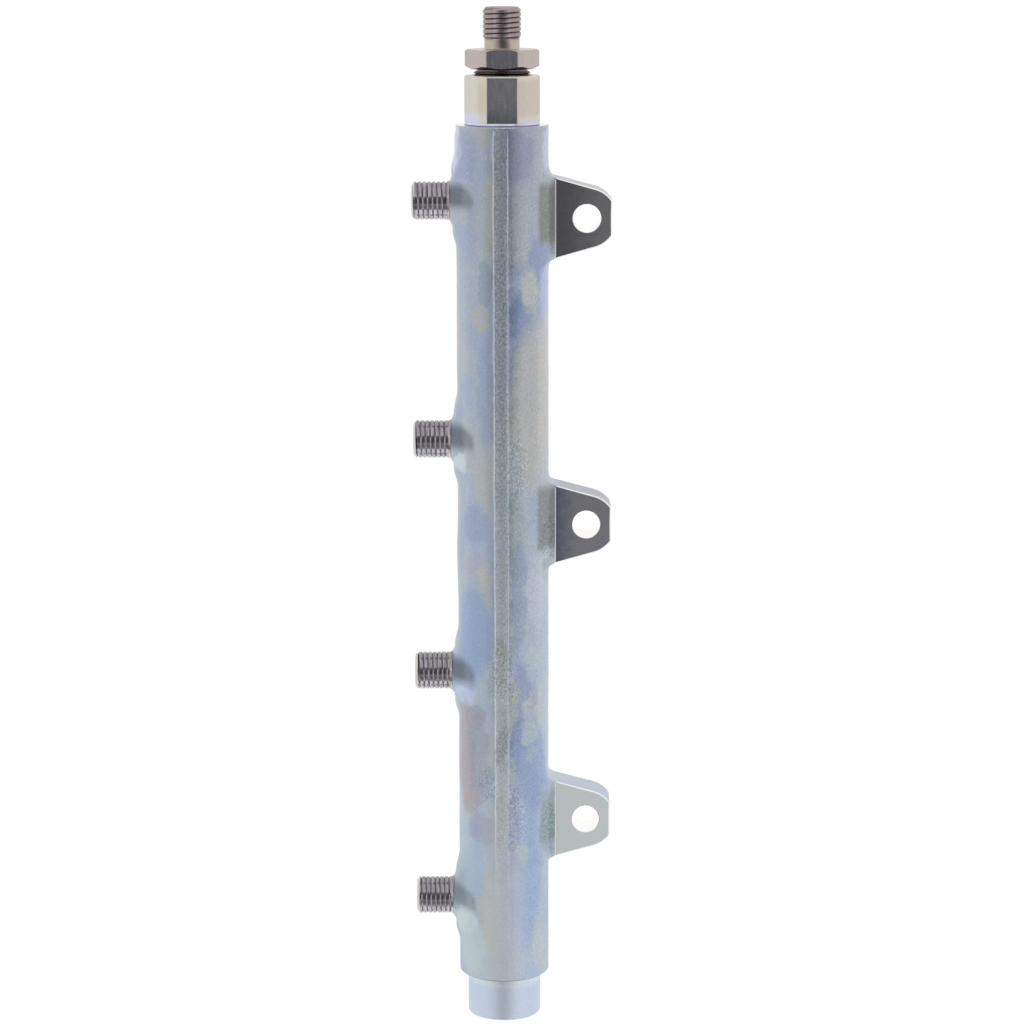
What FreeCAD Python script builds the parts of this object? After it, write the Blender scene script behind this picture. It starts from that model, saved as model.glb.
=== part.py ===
import FreeCAD, Part
import Sketcher
import math
import os
import re

# Common rail for a four cylinder diesel engine, in millimetres.
#
# The rail lies along Y with its inlet at the +Y end, its outlets towards -X and its bolting ears
# towards +X. The origin is the centre of the middle ear's hole on the seating face of the ears, so the
# rail's own axis runs beside it, at the ears' reach and at half their thickness.

doc = FreeCAD.newDocument("fuel_rail")

# The sizes that drive the model: name, value and meaning.
SIZES = (
    ("body_dia", 29.0, "forged body, diameter"),
    ("top_shoulder", 23.6, "first outlet's axis to the upper end of the body"),
    ("low_shoulder", 24.9, "last outlet's axis to the lower end of the body"),
    ("rim_chamfer", 0.3, "chamfer round both ends of the body"),
    ("land_width", 4.2, "trimmed flash land, width"),
    ("land_height", 0.2, "flash land above the top of the round"),
    ("boss_dia", 23.5, "turned end bosses, diameter"),
    ("top_boss_length", 15.3, "upper end boss, length"),
    ("low_boss_length", 14.3, "lower end boss, length"),
    ("boss_chamfer", 0.4, "lower end boss, outer chamfer"),
    ("boss_flats", 21.6, "upper end boss, across its hexagon flats"),
    ("boss_rim", 0.5, "upper end boss, chamfer round its face"),
    ("relief_dia", 22.6, "turned relief at the foot of the hexagon"),
    ("relief_width", 0.9, "width of that relief"),
    ("gallery_dia", 10.0, "fuel gallery along the body"),
    ("outlet_count", 4, "outlet connections"),
    ("outlet_pitch", 75.5, "outlet to outlet"),
    ("outlet_dia", 11.85, "outlet thread, over the crests of M12"),
    ("outlet_length", 11.3, "outlet thread, length with its chamfer"),
    ("outlet_chamfer", 0.8, "outlet tip chamfer"),
    ("collar_dia", 13.0, "collar behind the outlet thread"),
    ("collar_stand", 1.7, "collar above the body's skin"),
    ("runout", 0.8, "from the collar up to the first thread crest"),
    ("flare_turn", 47.0, "degrees round the body to the foot of the outlet's flare"),
    ("flare_sink", 0.3, "foot of the flare under the skin"),
    ("swell_height", 1.3, "swelling of the body at each outlet"),
    ("swell_shift", 2.5, "centre of the swelling towards the outlet"),
    ("swell_flat", 16.0, "straight part of the swelling"),
    ("swell_end", 8.0, "sloping part at each end of the swelling"),
    ("swell_slope", 12.5, "fall of those ends in degrees"),
    ("seat_angle", 60.0, "included angle of the cone seats for the pipes"),
    ("seat_mouth", 8.4, "mouth of the cone seats"),
    ("outlet_bore", 3.5, "drilling through each outlet"),
    ("throttle_length", 8.0, "pressed-in throttle, length"),
    ("throttle_orifice", 0.9, "throttle orifice"),
    ("press_clearance", 0.01, "between the throttle and its drilling, for each side"),
    ("ear_count", 3, "bolting ears"),
    ("ear_pitch", 97.0, "ear to ear"),
    ("ear_drop", 5.0, "first ear's hole under the first outlet's axis"),
    ("ear_hole", 8.8, "ear hole for an M8 bolt"),
    ("ear_reach", 26.3, "rail axis to the ear holes"),
    ("ear_round", 9.55, "radius of the ear round its hole"),
    ("ear_tip", 7.8, "ear hole to the flat tip"),
    ("ear_slope", 15.0, "slope of the ear's sides"),
    ("ear_thickness", 12.5, "ear over its milled faces"),
    ("ear_step", 16.8, "rail axis to the edge of the milled faces"),
    ("ear_skin", 0.6, "forged skin that stays at the root, for each side"),
    ("ear_sink", 6.5, "root of the ear under the body's skin"),
    ("ear_chamfer", 0.4, "chamfer round the milled faces"),
    ("ear_fillet", 3.0, "round between the ear and the body"),
    ("union_thread", 17.85, "union thread into the boss, over the crests of M18"),
    ("thread_clearance", 0.075, "between the union and its bore, for each side"),
    ("inlet_depth", 16.0, "upper boss face to the seal seat"),
    ("inlet_engage", 12.5, "threaded part of that depth"),
    ("mouth_chamfer", 0.25, "chamfer at the mouth of both end bores"),
    ("sensor_bore", 16.38, "sensor port, under the crests of M18"),
    ("sensor_depth", 14.0, "lower boss face to the sensor seat"),
    ("sensor_mouth", 18.2, "mouth of the sensor port"),
    ("stud_dia", 11.85, "union stud, over the crests of M12"),
    ("stud_length", 9.7, "union stud, length with its chamfer"),
    ("stud_chamfer", 0.9, "union stud tip chamfer"),
    ("neck_dia", 11.0, "union neck"),
    ("neck_length", 3.25, "union neck, length"),
    ("union_dia", 23.1, "union hexagon, turned diameter"),
    ("union_flats", 21.0, "union hexagon, across flats"),
    ("union_height", 6.0, "union hexagon, height"),
    ("union_cut", 0.65, "width of the chamfer above the union hexagon"),
    ("union_undercut", 1.65, "width of the chamfer below it"),
    ("union_gap", 1.9, "union hexagon above the boss"),
    ("undercut_dia", 15.6, "undercut below the union hexagon"),
    ("undercut_length", 0.7, "undercut, length"),
    ("union_bore", 3.2, "drilling through the union"),
    ("nose_dia", 15.5, "union nose that presses on the seal ring"),
    ("nose_length", 2.2, "union nose, length"),
    ("nose_clearance", 0.25, "between the nose and the seat bore, for each side"),
    ("ring_clearance", 0.1, "between the seal ring and the seat bore, for each side"),
    ("ring_thickness", 1.5, "seal ring, thickness"),
    ("ring_hole", 10.4, "seal ring, hole"),
    ("hex_angle", 30.0, "chamfer of the union hexagon"),
)

# Sizes that follow from those above: name, formula and meaning.
WORKED_OUT = (
    ("body_rad", "body_dia / 2", "body radius"),
    ("boss_rad", "boss_dia / 2", "end boss radius"),
    ("first_ear", "ear_pitch * (ear_count - 1) / 2", "height of the first ear's hole"),
    ("first_outlet", "first_ear + ear_drop", "height of the first outlet's axis"),
    ("body_top", "first_outlet + top_shoulder", "upper end of the body"),
    ("body_foot", "first_outlet - outlet_pitch * (outlet_count - 1) - low_shoulder", "its lower end"),
    ("boss_top", "body_top + top_boss_length", "face of the upper boss"),
    ("boss_foot", "body_foot - low_boss_length", "face of the lower boss"),
    ("collar_reach", "body_rad + collar_stand", "rail axis to the collar"),
    ("thread_reach", "collar_reach + runout", "rail axis to the outlet thread"),
    ("outlet_reach", "thread_reach + outlet_length", "rail axis to the outlet tips"),
    ("seat_depth", "(seat_mouth - outlet_bore) / 2 / tan(seat_angle / 2)", "depth of the cone seats"),
    ("inlet_rad", "union_thread / 2 + thread_clearance", "threaded inlet bore, radius"),
    ("seat_rad", "nose_dia / 2 + nose_clearance", "seat bore at its bottom, radius"),
    ("union_seat", "boss_top + union_gap", "underside of the union hexagon"),
    ("union_under", "union_gap + inlet_depth - ring_thickness", "union below its hexagon"),
    ("hex_slope", "tan(hex_angle)", "rise of a hexagon chamfer for each millimetre of radius"),
    ("swell_rad", "body_rad + swell_height - swell_shift", "radius of the swelling"),
    ("swell_drop", "swell_end * tan(swell_slope)", "fall of its sloping ends"),
)

sheet = doc.addObject("Spreadsheet::Sheet", "Dimensions")
row = 0
for name, number, meaning in SIZES:
    row += 1
    sheet.set("A%d" % row, meaning)
    sheet.set("B%d" % row, str(number))
    sheet.setAlias("B%d" % row, name)
for name, formula, meaning in WORKED_OUT:
    row += 1
    sheet.set("A%d" % row, meaning)
    sheet.set("B%d" % row, "=" + formula)
    sheet.setAlias("B%d" % row, name)
doc.recompute()

ALIASES = [entry[0] for entry in SIZES + WORKED_OUT]
ALIAS_PATTERN = re.compile(r"\b(" + "|".join(ALIASES) + r")\b")


def value(formula):
    """The number that a formula of the sheet's names gives."""
    return float(sheet.evalExpression(formula))


def bind(item, prop, formula):
    """Tie a property to a formula of the sheet's names."""
    item.setExpression(prop, ALIAS_PATTERN.sub(r"Dimensions.\1", formula))


def new_body(name):
    body = doc.addObject("PartDesign::Body", name)
    body.Label = name
    return body


def origin_item(body, role):
    """One of the body's own origin planes or axes."""
    return next(item for item in body.Origin.OriginFeatures if item.Role == role)


def new_sketch(body, name, plane, offset=("0", "0", "0")):
    """A sketch on one of the body's origin planes, moved in the sketch's own directions."""
    sketch = body.newObject("Sketcher::SketchObject", name)
    sketch.AttachmentSupport = [(origin_item(body, plane), "")]
    sketch.MapMode = "FlatFace"
    for axis, formula in zip("xyz", offset):
        bind(sketch, "AttachmentOffset.Base." + axis, formula)
    return sketch


def closed_outline(sketch, corners, arcs=None):
    """A closed outline through corners given as formulas.

    arcs maps a corner's number to the radius formula and the side (1 left, -1 right, seen along the
    outline) of the centre of the arc that runs from that corner to the next.
    """
    arcs = arcs or {}
    points = [FreeCAD.Vector(value(x), value(y), 0) for x, y in corners]
    ends = []
    for number, start in enumerate(points):
        finish = points[(number + 1) % len(points)]
        if number in arcs:
            radius_formula, side = arcs[number]
            radius = value(radius_formula)
            chord = finish - start
            square = radius ** 2 - (chord.Length / 2) ** 2
            left = FreeCAD.Vector(-chord.y, chord.x, 0).normalize()
            centre = (start + finish) / 2 + left * side * math.sqrt(square)
            first, last = (start, finish) if side > 0 else (finish, start)
            turn = [math.atan2((p - centre).y, (p - centre).x) for p in (first, last)]
            circle = Part.Circle(centre, FreeCAD.Vector(0, 0, 1), radius)
            piece = sketch.addGeometry(Part.ArcOfCircle(circle, turn[0], turn[1]))
            size = sketch.addConstraint(Sketcher.Constraint("Radius", piece, radius))
            sketch.renameConstraint(size, "arc_%d" % number)
            bind(sketch, "Constraints.arc_%d" % number, radius_formula)
            ends.append((piece, 1, 2) if side > 0 else (piece, 2, 1))
        else:
            piece = sketch.addGeometry(Part.LineSegment(start, finish))
            ends.append((piece, 1, 2))
    for number, (piece, begin, end) in enumerate(ends):
        following, following_begin, following_end = ends[(number + 1) % len(ends)]
        sketch.addConstraint(Sketcher.Constraint("Coincident", piece, end, following, following_begin))
    for number, (piece, begin, end) in enumerate(ends):
        places = (("DistanceX", "x", points[number].x), ("DistanceY", "y", points[number].y))
        for (kind, letter, place), formula in zip(places, corners[number]):
            size = sketch.addConstraint(Sketcher.Constraint(kind, -1, 1, piece, begin, place))
            label = "corner_%d_%s" % (number, letter)
            sketch.renameConstraint(size, label)
            bind(sketch, "Constraints." + label, formula)


def circle_outline(sketch, radius_formula):
    """A circle round the sketch's origin."""
    circle = Part.Circle(FreeCAD.Vector(0, 0, 0), FreeCAD.Vector(0, 0, 1), value(radius_formula))
    piece = sketch.addGeometry(circle)
    sketch.addConstraint(Sketcher.Constraint("Coincident", piece, 3, -1, 1))
    size = sketch.addConstraint(Sketcher.Constraint("Radius", piece, value(radius_formula)))
    label = "radius_%d" % size
    sketch.renameConstraint(size, label)
    bind(sketch, "Constraints." + label, radius_formula)


def hexagon_outline(sketch, flats_formula):
    """A hexagon round the sketch's origin, with two flats square to the sketch's vertical."""
    half = "(" + flats_formula + ") / 2"
    corners = []
    for number in range(6):
        turn = 60 * number
        corners.append((half + " / cos(30) * cos(%d)" % turn, half + " / cos(30) * sin(%d)" % turn))
    closed_outline(sketch, corners)


def turned(body, kind, name, plane, axis, corners, offset=("0", "0", "0")):
    """A full turn of an outline, added (Revolution) or cut (Groove)."""
    sketch = new_sketch(body, name + "Outline", plane, offset)
    closed_outline(sketch, corners)
    feature = body.newObject("PartDesign::" + kind, name)
    feature.Profile = sketch
    feature.ReferenceAxis = (sketch, [axis])
    feature.Angle = 360
    doc.recompute()
    return feature


def straight(body, kind, name, sketch, length_formula, both_sides=False, backwards=False):
    """A straight pull of a sketch, added (Pad) or cut (Pocket)."""
    feature = body.newObject("PartDesign::" + kind, name)
    feature.Profile = sketch
    bind(feature, "Length", length_formula)
    feature.SideType = "Symmetric" if both_sides else "One side"
    feature.Reversed = backwards
    doc.recompute()
    return feature


def row_of(body, name, originals, count, pitch):
    """Repeat features towards the lower end of the rail."""
    pattern = body.newObject("PartDesign::LinearPattern", name)
    pattern.Originals = originals
    pattern.Direction = (origin_item(body, "Y_Axis"), [""])
    pattern.Reversed = True
    pattern.Mode = "Spacing"
    bind(pattern, "Offset", pitch)
    bind(pattern, "Occurrences", count)
    body.Tip = pattern
    doc.recompute()
    return pattern


def dressed(body, kind, name, base, test, prop, size_formula):
    """Round (Fillet) or break (Chamfer) the edges of a feature that pass a test."""
    edges = ["Edge%d" % (number + 1) for number, edge in enumerate(base.Shape.Edges) if test(edge)]
    feature = body.newObject("PartDesign::" + kind, name)
    feature.Base = (base, edges)
    bind(feature, prop, size_formula)
    doc.recompute()
    return feature


def on_surface(edge, distance):
    """Whether every sampled point of an edge is at the distance's zero."""
    first, last = edge.ParameterRange
    steps = (0.1, 0.35, 0.6, 0.85)
    points = [edge.valueAt(first + (last - first) * step) for step in steps]
    return all(abs(distance(point)) < 0.001 for point in points)


# Rail body, drawn about its own axis with the middle ear's hole at Y = 0.

def rail_body():
    body = new_body("rail_body")

    # The turned and forged rounds: lower boss, body, relief and upper boss.
    round_corners = (
        ("0", "boss_foot"),
        ("boss_rad - boss_chamfer", "boss_foot"),
        ("boss_rad", "boss_foot + boss_chamfer"),
        ("boss_rad", "body_foot"),
        ("body_rad - rim_chamfer", "body_foot"),
        ("body_rad", "body_foot + rim_chamfer"),
        ("body_rad", "body_top - rim_chamfer"),
        ("body_rad - rim_chamfer", "body_top"),
        ("relief_dia / 2", "body_top"),
        ("relief_dia / 2", "body_top + relief_width"),
        ("boss_rad", "body_top + relief_width"),
        ("boss_rad", "boss_top"),
        ("0", "boss_top"),
    )
    turned(body, "Revolution", "Rounds", "XY_Plane", "V_Axis", round_corners)

    # Hexagon flats on the upper boss, milled down to the relief, and the chamfer round its face.
    flats = new_sketch(body, "BossFlatsOutline", "XZ_Plane", ("0", "0", "-boss_top"))
    circle_outline(flats, "boss_dia")
    hexagon_outline(flats, "boss_flats")
    boss_flats = straight(body, "Pocket", "BossFlats", flats, "top_boss_length - relief_width", backwards=True)
    face_height = value("boss_top")

    def boss_face_edge(edge):
        box = edge.BoundBox
        return abs(box.YMin - face_height) < 0.001 and abs(box.YMax - face_height) < 0.001

    dressed(body, "Chamfer", "BossRim", boss_flats, boss_face_edge, "Size", "boss_rim")

    # Trimmed flash land along the front and the back.
    land = new_sketch(body, "FlashLandOutline", "XZ_Plane", ("0", "0", "-(body_top - rim_chamfer)"))
    land_half = "body_rad + land_height"
    closed_outline(land, (
        ("-land_width / 2", "-(%s)" % land_half),
        ("land_width / 2", "-(%s)" % land_half),
        ("land_width / 2", land_half),
        ("-land_width / 2", land_half),
    ))
    straight(body, "Pad", "FlashLand", land, "body_top - body_foot - 2 * rim_chamfer")

    # One ear: the forged root, then the milled plate that carries the bolt hole.
    at_hole = ("ear_reach", "first_ear", "0")
    root_start = "body_rad - ear_sink - ear_reach"
    step = "ear_step - ear_reach"
    side = "(ear_round / cos(ear_slope) - (%s) * tan(ear_slope))"
    root = new_sketch(body, "EarRootOutline", "XY_Plane", at_hole)
    closed_outline(root, (
        (root_start, "-" + side % root_start),
        (step, "-" + side % step),
        (step, side % step),
        (root_start, side % root_start),
    ))
    ear_root = straight(body, "Pad", "EarRoot", root, "ear_thickness + 2 * ear_skin", both_sides=True)

    plate = new_sketch(body, "EarPlateOutline", "XY_Plane", at_hole)
    tangent_x = "ear_round * sin(ear_slope)"
    tangent_y = "ear_round * cos(ear_slope)"
    tip_y = "sqrt(ear_round ^ 2 - ear_tip ^ 2)"
    closed_outline(plate, (
        (root_start, "-" + side % root_start),
        (tangent_x, "-" + tangent_y),
        ("ear_tip", "-" + tip_y),
        ("ear_tip", tip_y),
        (tangent_x, tangent_y),
        (root_start, side % root_start),
    ), {1: ("ear_round", 1), 3: ("ear_round", 1)})
    ear_plate = straight(body, "Pad", "EarPlate", plate, "ear_thickness", both_sides=True)
    row_of(body, "Ears", [ear_root, ear_plate], "ear_count", "ear_pitch")

    # One outlet: the swelling of the body, then the flare, collar and thread as one turned form.
    low_reach = "-(swell_rad - swell_drop)"
    full_reach = "-swell_rad"
    half_flat = "swell_flat / 2"
    half_swell = "(swell_flat / 2 + swell_end)"
    swell = turned(body, "Revolution", "OutletSwelling", "XY_Plane", "V_Axis", (
        ("0", "-" + half_swell),
        ("0", half_swell),
        (low_reach, half_swell),
        (full_reach, half_flat),
        (full_reach, "-" + half_flat),
        (low_reach, "-" + half_swell),
    ), ("-swell_shift", "first_outlet", "0"))
    foot_reach = "-(body_rad - flare_sink) * cos(flare_turn)"
    foot_rad = "(body_rad - flare_sink) * sin(flare_turn)"
    connection = turned(body, "Revolution", "OutletConnection", "XY_Plane", "H_Axis", (
        (foot_reach, "0"),
        (foot_reach, foot_rad),
        ("-collar_reach", "collar_dia / 2"),
        ("-thread_reach", "outlet_dia / 2"),
        ("-(outlet_reach - outlet_chamfer)", "outlet_dia / 2"),
        ("-outlet_reach", "outlet_dia / 2 - outlet_chamfer"),
        ("-outlet_reach", "0"),
    ), ("0", "first_outlet", "0"))
    outlets = row_of(body, "Outlets", [swell, connection], "outlet_count", "outlet_pitch")

    # Forged rounds where the ears grow out of the body. The rims are circles; every other edge in the
    # body's skin on the ears' side is the foot of an ear or of the flash land.
    skin_rad = value("body_rad")
    land_side = value("land_width")

    def skin(point):
        return math.hypot(point.x, point.z) - skin_rad

    def ear_foot(edge):
        in_skin = edge.Curve.TypeId != "Part::GeomCircle" and on_surface(edge, skin)
        return in_skin and edge.CenterOfMass.x > land_side

    rounded = dressed(body, "Fillet", "EarFeet", outlets, ear_foot, "Radius", "ear_fillet")

    # Chamfers round the milled faces of the ears.
    half_plate = value("ear_thickness / 2")
    step_reach = value("ear_step")

    def plate_rim(edge):
        box = edge.BoundBox
        level = abs(abs(edge.CenterOfMass.z) - half_plate) < 0.001 and box.ZLength < 0.001
        return level and box.XMax > step_reach + 0.1

    dressed(body, "Chamfer", "EarRims", rounded, plate_rim, "Size", "ear_chamfer")

    # The bolt hole of each ear.
    hole = new_sketch(body, "EarHoleOutline", "XY_Plane", at_hole)
    circle_outline(hole, "ear_hole / 2")
    hole_cut = straight(body, "Pocket", "EarHole", hole, "2 * ear_thickness", both_sides=True)
    row_of(body, "EarHoles", [hole_cut], "ear_count", "ear_pitch")

    # The drilling of each outlet, with the cone seat for its pipe, into the gallery.
    drilling = turned(body, "Groove", "OutletDrilling", "XY_Plane", "H_Axis", (
        ("0", "0"),
        ("-outlet_reach", "0"),
        ("-outlet_reach", "seat_mouth / 2"),
        ("-(outlet_reach - seat_depth)", "outlet_bore / 2"),
        ("0", "outlet_bore / 2"),
    ), ("0", "first_outlet", "0"))
    row_of(body, "OutletDrillings", [drilling], "outlet_count", "outlet_pitch")

    # The bores along the body's axis: inlet thread, seal seat, gallery and sensor port.
    turned(body, "Groove", "AxisBores", "XY_Plane", "V_Axis", (
        ("0", "boss_top"),
        ("0", "boss_foot"),
        ("sensor_mouth / 2", "boss_foot"),
        ("sensor_bore / 2", "boss_foot + (sensor_mouth - sensor_bore) / 2"),
        ("sensor_bore / 2", "boss_foot + sensor_depth"),
        ("gallery_dia / 2", "boss_foot + sensor_depth"),
        ("gallery_dia / 2", "boss_top - inlet_depth"),
        ("seat_rad", "boss_top - inlet_depth"),
        ("seat_rad", "boss_top - inlet_engage - (inlet_rad - seat_rad)"),
        ("inlet_rad", "boss_top - inlet_engage"),
        ("inlet_rad", "boss_top - mouth_chamfer"),
        ("inlet_rad + mouth_chamfer", "boss_top"),
    ))
    return body


def ring_of_rail(name, corners, place, turn):
    """A turned piece drawn about its own Z axis and set into the rail."""
    piece = new_body(name)
    turned(piece, "Revolution", "Rounds", "XZ_Plane", "V_Axis", corners)
    piece.Placement = FreeCAD.Placement(FreeCAD.Vector(0, 0, 0), turn)
    for axis, formula in zip("xyz", place):
        bind(piece, "Placement.Base." + axis, formula)
    return piece


rail = rail_body()
bind(rail, "Placement.Base.x", "-ear_reach")
bind(rail, "Placement.Base.z", "ear_thickness / 2")

# Pieces on the rail's own axis point their Z along the rail's Y, those in an outlet point it outwards.
ALONG_RAIL = FreeCAD.Rotation(FreeCAD.Vector(1, 0, 0), -90)
OUT_OF_OUTLET = FreeCAD.Rotation(FreeCAD.Vector(0, 1, 0), -90)

# Inlet union, drawn from the underside of its hexagon.
union = ring_of_rail("inlet_union", (
    ("union_bore / 2", "-union_under"),
    ("nose_dia / 2", "-union_under"),
    ("nose_dia / 2", "-union_under + nose_length"),
    ("union_thread / 2", "-union_under + nose_length"),
    ("union_thread / 2", "-undercut_length"),
    ("undercut_dia / 2", "-undercut_length"),
    ("undercut_dia / 2", "0"),
    ("union_dia / 2 - union_undercut", "0"),
    ("union_dia / 2", "union_undercut * hex_slope"),
    ("union_dia / 2", "union_height - union_cut * hex_slope"),
    ("union_dia / 2 - union_cut", "union_height"),
    ("neck_dia / 2", "union_height"),
    ("neck_dia / 2", "union_height + neck_length"),
    ("stud_dia / 2", "union_height + neck_length"),
    ("stud_dia / 2", "union_height + neck_length + stud_length - stud_chamfer"),
    ("stud_dia / 2 - stud_chamfer", "union_height + neck_length + stud_length"),
    ("seat_mouth / 2", "union_height + neck_length + stud_length"),
    ("union_bore / 2", "union_height + neck_length + stud_length"
                       " - (seat_mouth - union_bore) / 2 / tan(seat_angle / 2)"),
), ("-ear_reach", "union_seat", "ear_thickness / 2"), ALONG_RAIL)
flats = new_sketch(union, "UnionFlatsOutline", "XY_Plane")
circle_outline(flats, "union_dia")
hexagon_outline(flats, "union_flats")
straight(union, "Pocket", "UnionFlats", flats, "union_height", backwards=True)

# Soft iron seal ring between the union's nose and the seat.
ring_of_rail("inlet_seal_ring", (
    ("ring_hole / 2", "0"),
    ("seat_rad - ring_clearance", "0"),
    ("seat_rad - ring_clearance", "ring_thickness"),
    ("ring_hole / 2", "ring_thickness"),
), ("-ear_reach", "boss_top - inlet_depth", "ear_thickness / 2"), ALONG_RAIL)

# Outlet throttles, pressed in from the cone seats down to where the drillings turn plain.
for number in range(int(value("outlet_count"))):
    ring_of_rail("outlet_throttle_%d" % (number + 1), (
        ("throttle_orifice / 2", "-throttle_length"),
        ("outlet_bore / 2 - press_clearance", "-throttle_length"),
        ("outlet_bore / 2 - press_clearance", "0"),
        ("throttle_orifice / 2", "0"),
    ), (
        "-ear_reach - (outlet_reach - seat_depth)",
        "first_outlet - %d * outlet_pitch" % number,
        "ear_thickness / 2",
    ), OUT_OF_OUTLET)

doc.recompute()
failed = [item.Name for item in doc.Objects if "Invalid" in item.State or "Error" in item.State]
if failed:
    raise RuntimeError("these objects did not compute: " + ", ".join(failed))

bodies = doc.findObjects("PartDesign::Body")
for body in bodies:
    if body.Shape.isNull() or not body.Shape.isValid() or len(body.Shape.Solids) != 1:
        raise RuntimeError("not one sound solid: " + body.Label)

os.makedirs("parts", exist_ok=True)
for body in bodies:
    body.Shape.exportStep("parts/%s.step" % body.Label)
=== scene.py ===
import math

import bmesh
import bpy
import numpy as np
from mathutils import Matrix, Vector, noise


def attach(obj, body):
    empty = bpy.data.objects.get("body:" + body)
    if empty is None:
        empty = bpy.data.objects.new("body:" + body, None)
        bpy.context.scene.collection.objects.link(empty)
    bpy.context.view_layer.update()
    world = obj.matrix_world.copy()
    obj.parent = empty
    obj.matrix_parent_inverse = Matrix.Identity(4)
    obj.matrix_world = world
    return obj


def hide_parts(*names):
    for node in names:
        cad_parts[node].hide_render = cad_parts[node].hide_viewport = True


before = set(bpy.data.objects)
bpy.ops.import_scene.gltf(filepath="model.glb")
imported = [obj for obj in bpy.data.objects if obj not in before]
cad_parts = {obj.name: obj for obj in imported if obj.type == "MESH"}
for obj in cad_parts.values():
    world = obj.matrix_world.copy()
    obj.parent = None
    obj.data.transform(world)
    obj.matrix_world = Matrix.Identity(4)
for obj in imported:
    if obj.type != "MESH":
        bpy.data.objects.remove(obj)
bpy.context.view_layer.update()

MM = 0.001

# Sizes in millimetres, as in the part's source. Pieces are drawn about the rail's own axis, which runs
# along Y at X = AXIS_X and Z = AXIS_Z of the shared frame.
AXIS_X, AXIS_Z = -26.3, 6.25
BODY_RAD = 14.5
BODY_TOP, BODY_FOOT = 125.6, -149.4
BOSS_TOP, BOSS_FOOT = 140.9, -163.7
BOSS_RAD = 11.75
BOSS_FLATS = 21.6
RELIEF_RAD, RELIEF_WIDTH = 11.3, 0.9
RIM = 0.3
BOSS_RIM, BOSS_CHAMFER = 0.5, 0.4
HEX_SLOPE = math.tan(math.radians(30))
INLET_RAD, SEAT_RAD, INLET_DEPTH, INLET_ENGAGE = 9.0, 8.0, 16.0, 12.5
INLET_RIM = 0.25
GALLERY_RAD = 5.0
SENSOR_RAD, SENSOR_DEPTH, SENSOR_MOUTH, SENSOR_CREST = 8.19, 14.0, 9.1, 9.05
OUTLETS = (102.0, 26.5, -49.0, -124.5)
COLLAR_REACH, THREAD_REACH, OUTLET_REACH = 16.2, 17.0, 28.3
COLLAR_RAD, COLLAR_START, COLLAR_RIM = 6.5, 12.0, 0.15
CREST_RAD, ROOT_RAD, PITCH = 5.925, 5.42, 1.5
OUTLET_CHAMFER = 0.8
FIRST_TURN, NEXT_TURN, STUD_TURN = math.radians(70), math.radians(83), math.radians(200)
SEAT_MOUTH_RAD, BORE_RAD = 4.2, 1.75
EARS = (97.0, 0.0, -97.0)
EAR_X = 26.3
EAR_ROUND, EAR_TIP, EAR_HOLE_RAD = 9.55, 7.8, 4.4
EAR_SLOPE = math.radians(15)
EAR_HALF, EAR_SKIN, EAR_STEP, EAR_CHAMFER = 6.25, 0.6, 16.8, 0.4
EAR_START, HOLE_RIM = 8.0, 0.15
LAND_SHIFT, LAND_HALF, LAND_HEIGHT = -0.5, 2.1, 0.2
ROOT_SLOPE = 0.27
UNION_SEAT = 142.8
UNION_UNDER, UNION_NOSE, UNION_NOSE_RAD, NOSE_CHAMFER = 16.4, 2.2, 7.75, 0.3
UNION_RAD, UNION_FLATS, UNION_HEIGHT = 11.55, 21.0, 6.0
UNION_FACE_RAD, UNION_UNDERFACE_RAD = 10.9, 9.9
UNION_CREST, UNION_ROOT = 8.925, 8.0
UNION_CREST_LOW, UNION_CREST_HIGH = -1.15, -1.05
UNDERCUT_RAD, UNDERCUT_LOW, UNDERCUT_HIGH = 7.8, -0.5, -0.2
UNION_BORE = 1.6
NECK_RAD, NECK, STUD, STUD_CHAMFER = 5.5, 3.25, 9.7, 0.9

# Fineness of the forged skin, and the angle past which an edge is drawn sharp.
SKIN_ROWS, SKIN_COLUMNS = 280, 170
SHARP = math.radians(30)

# A thread's profile from one root to the next: share of the pitch, and share of the thread's depth.
THREAD_PROFILE = ((0, 0.0), (1 / 12, 0.4), (2 / 12, 0.95), (3 / 12, 1.0), (9 / 12, 1.0),
                  (10 / 12, 0.95), (11 / 12, 0.4))
# A thread is cut to length by a turned limit, which stands this far clear of its crests.
LIMIT_CLEAR = 0.02


# Mesh helpers

def to_frame(points):
    """From millimetres about the rail's axis to metres in the shared frame."""
    return (np.asarray(points, float) + (AXIS_X, 0.0, AXIS_Z)) * MM


def new_piece(name, points, faces):
    mesh = bpy.data.meshes.new(name)
    mesh.from_pydata([tuple(p) for p in points], [], [tuple(int(i) for i in f) for f in faces])
    work = bmesh.new()
    work.from_mesh(mesh)
    bmesh.ops.recalc_face_normals(work, faces=work.faces)
    work.to_mesh(mesh)
    work.free()
    piece = bpy.data.objects.new(name, mesh)
    bpy.context.scene.collection.objects.link(piece)
    return piece


def loft(name, rings, closed):
    """A solid through rings of points: closed joins the last ring to the first, else both get a cap."""
    rings = np.asarray(rings, float)
    count, around = rings.shape[:2]
    spans = count if closed else count - 1
    k, j = np.meshgrid(np.arange(spans), np.arange(around), indexing="ij")
    after, beside = (k + 1) % count, (j + 1) % around
    quads = np.stack([k * around + j, k * around + beside, after * around + beside, after * around + j], -1)
    faces = quads.reshape(-1, 4).tolist()
    points = rings.reshape(-1, 3).tolist()
    if not closed:
        for ring in (0, count - 1):
            points.append(rings[ring].mean(0).tolist())
            middle = len(points) - 1
            for side in range(around):
                faces.append((ring * around + side, ring * around + (side + 1) % around, middle))
    return new_piece(name, to_frame(points), faces)


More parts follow.
